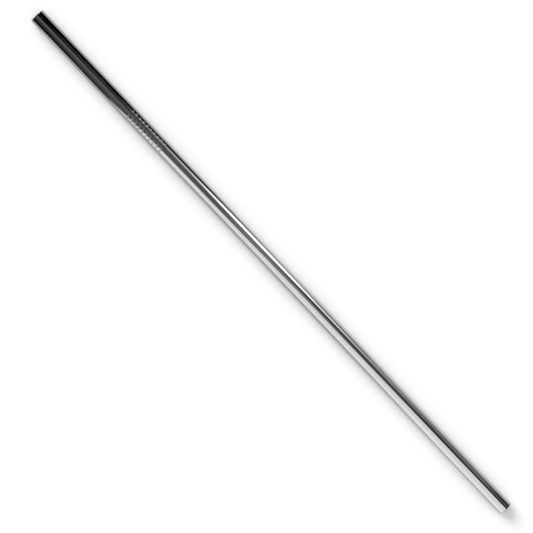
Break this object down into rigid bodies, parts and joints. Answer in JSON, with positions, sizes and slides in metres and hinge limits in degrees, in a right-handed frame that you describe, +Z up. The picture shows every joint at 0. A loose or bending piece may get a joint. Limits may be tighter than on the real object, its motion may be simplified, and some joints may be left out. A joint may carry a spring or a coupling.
{
  "type": "ring mandrel",
  "caption": "Long straight polished steel tube used as a slim mandrel, with a band of ten faint rolled rings near one end and rounded lips.",
  "frame": {"origin": "on the resting plane, under the middle of the tube", "axes": "+X along the tube towards its ringed end, +Z up from the surface it lies on"},
  "size_m": [0.266, 0.006, 0.006],
  "materials": {
    "polished_steel": "mirror-polished stainless steel with faint lengthwise drawing lines and fine handling scratches"
  },
  "bodies": {
    "root": {"mandrel_tube": "polished_steel"}
  },
  "joints": []
}
